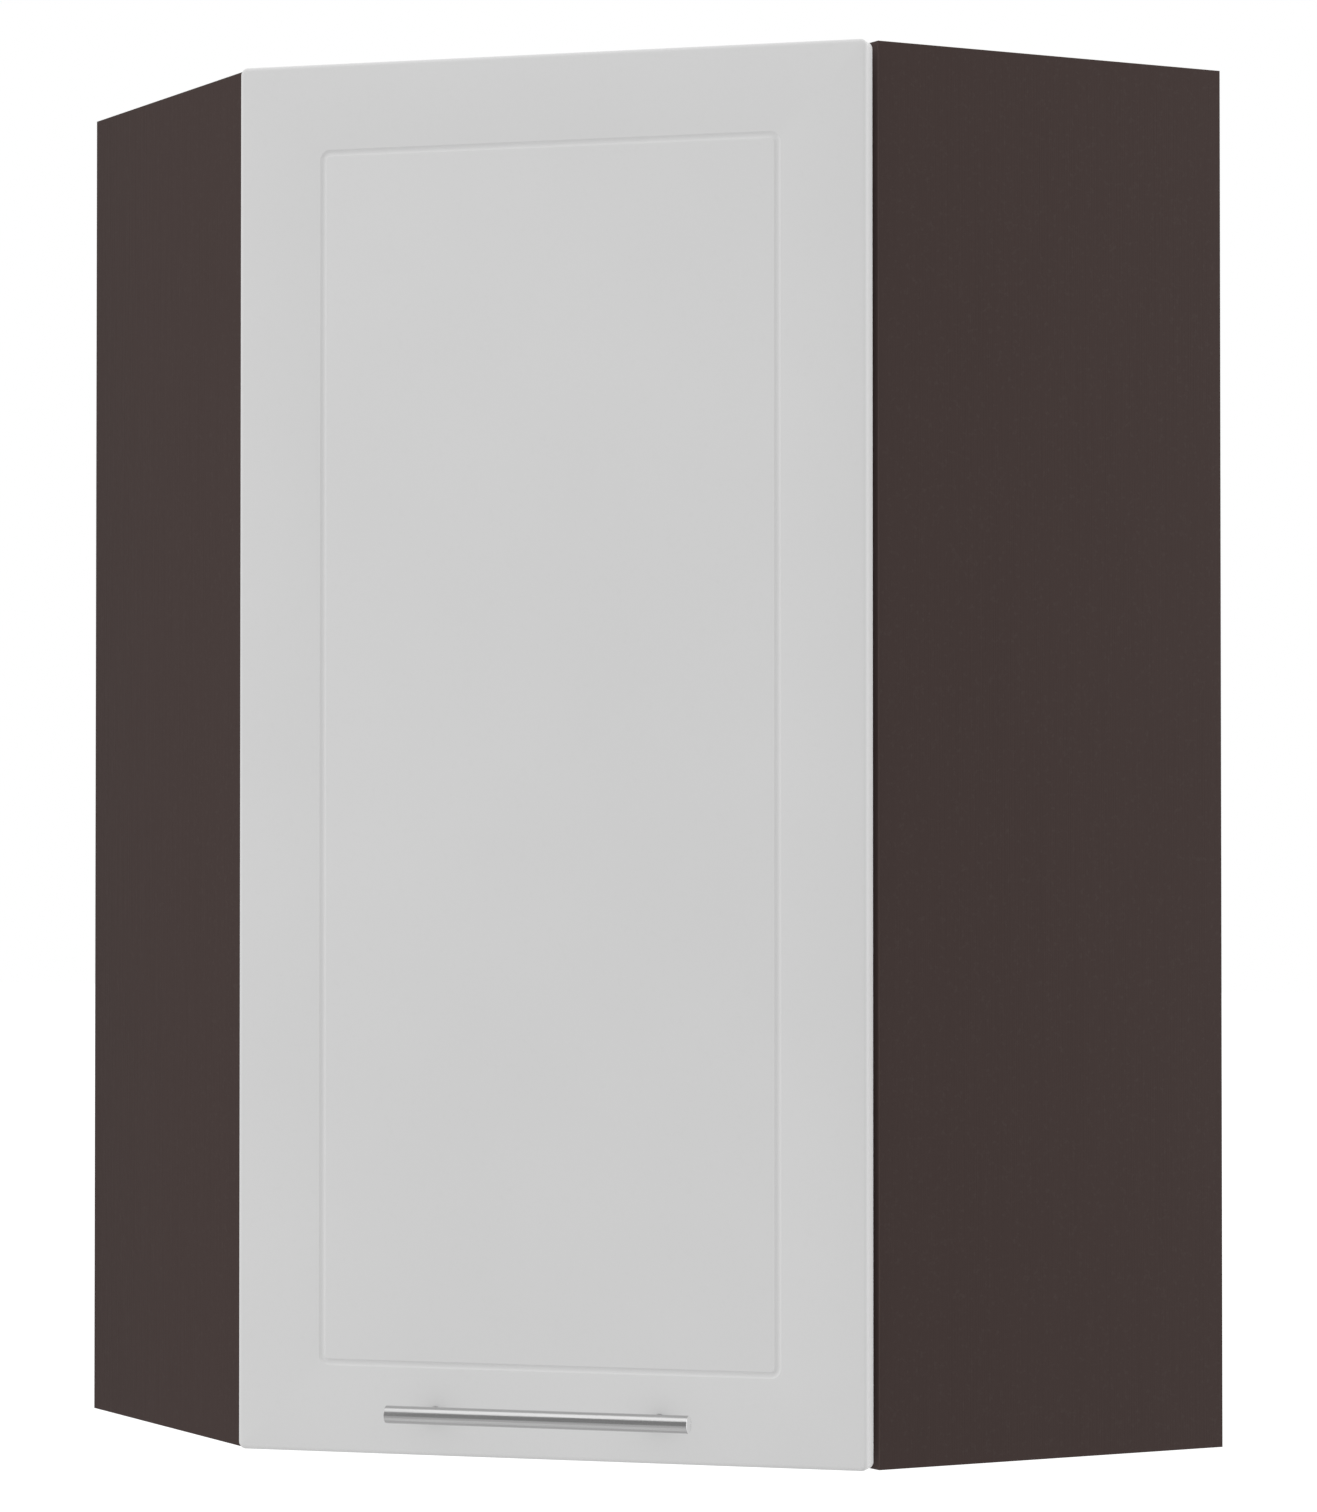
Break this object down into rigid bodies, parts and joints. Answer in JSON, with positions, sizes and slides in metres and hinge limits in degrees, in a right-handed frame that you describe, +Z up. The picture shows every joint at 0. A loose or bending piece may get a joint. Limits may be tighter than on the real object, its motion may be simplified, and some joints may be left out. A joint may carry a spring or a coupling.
{
  "type": "diagonal corner kitchen wall cabinet",
  "caption": "Five-sided kitchen wall cabinet for a room corner: dark board carcass, light grey door with a routed rectangle on concealed hinges, and a steel bar handle.",
  "frame": {"origin": "on the underside, in the middle of the square that the runs along the two walls make", "axes": "+Z up, +Y into the room corner, the door faces -Y, +X to the right of a viewer who faces the door"},
  "size_m": [0.8486, 0.6689, 0.96],
  "materials": {
    "dark_board": "dark brown melamine board, fine linear grain, satin",
    "dark_edge": "dark brown edge band, satin",
    "grey_door": "light grey painted fibreboard, matt",
    "hardboard": "thin fibreboard, smooth, matt",
    "beech": "turned beech, matt",
    "brushed_bar": "brushed along the bar",
    "plated_steel": "bright nickel plate",
    "zinc": "cast zinc, matt",
    "white_plastic": "white moulded plastic, satin",
    "brown_cap": "dark brown moulded cap, satin"
  },
  "bodies": {
    "cabinet": {"right_side_panel": "dark_board", "left_side_panel": "dark_board", "top_panel": "dark_board", "bottom_panel": "dark_board", "shelves": "dark_board", "right_back_panel": "hardboard", "left_back_panel": "hardboard", "right_post_board": "dark_board", "left_post_board": "dark_board", "side_edge_bands": "dark_edge", "end_panel_edge_bands": "dark_edge", "shelf_edge_bands": "dark_edge", "cam_locks": "zinc", "cam_bolts": "plated_steel", "cam_caps": "brown_cap", "dowels": "beech", "post_screws": "plated_steel", "shelf_pins": "plated_steel", "right_hanger_housing": "white_plastic", "left_hanger_housing": "white_plastic", "hanger_height_screws": "plated_steel", "hanger_fixing_screws": "plated_steel", "hinge_arms": "plated_steel", "hinge_arm_pins": "plated_steel", "hinge_springs": "plated_steel", "hinge_plates": "plated_steel", "hinge_plate_screws": "plated_steel", "hinge_arm_screws": "plated_steel"},
    "inner_links": {"hinge_inner_links": "plated_steel"},
    "outer_links": {"hinge_outer_links": "plated_steel"},
    "door": {"door_panel": "grey_door", "handle_bar": "brushed_bar", "handle_posts": "brushed_bar", "handle_screws": "plated_steel", "hinge_cups": "plated_steel", "hinge_cup_screws": "plated_steel", "hinge_cup_pins": "plated_steel"},
    "right_slider": {"right_hanger_slider": "zinc", "right_depth_screw": "plated_steel"},
    "left_slider": {"left_hanger_slider": "zinc", "left_depth_screw": "plated_steel"},
    "right_hook": {"right_hanger_hook": "plated_steel"},
    "left_hook": {"left_hanger_hook": "plated_steel"}
  },
  "joints": [
    {"name": "door_swing", "type": "hinge", "parent": "inner_links", "child": "door", "pos_m": [-0.20929, -0.20118, 0.1], "axis": [0, 0, -1], "range_deg": [0, 131.1]},
    {"name": "inner_link_swing", "type": "hinge", "parent": "cabinet", "child": "inner_links", "pos_m": [-0.18909, -0.19858, 0.1], "axis": [0, 0, 1], "range_deg": [0, 36.1]},
    {"name": "outer_link_swing", "type": "hinge", "parent": "cabinet", "child": "outer_links", "pos_m": [-0.19389, -0.20108, 0.1], "axis": [0, 0, 1], "range_deg": [0, 19.1]},
    {"name": "right_hanger_height", "type": "slide", "parent": "cabinet", "child": "right_slider", "axis": [0, 0, 1], "range_m": [-0.008, 0.008]},
    {"name": "right_hook_depth", "type": "slide", "parent": "right_slider", "child": "right_hook", "axis": [-0.7071, -0.7071, 0], "range_m": [-0.003, 0.008]},
    {"name": "left_hanger_height", "type": "slide", "parent": "cabinet", "child": "left_slider", "axis": [0, 0, 1], "range_m": [-0.008, 0.008]},
    {"name": "left_hook_depth", "type": "slide", "parent": "left_slider", "child": "left_hook", "axis": [0.7071, -0.7071, 0], "range_m": [-0.003, 0.008]}
  ],
  "couplings": [
    {"joint": "door_swing", "follows": "inner_link_swing", "ratio": 3.6316},
    {"joint": "outer_link_swing", "follows": "inner_link_swing", "ratio": 0.52632}
  ]
}
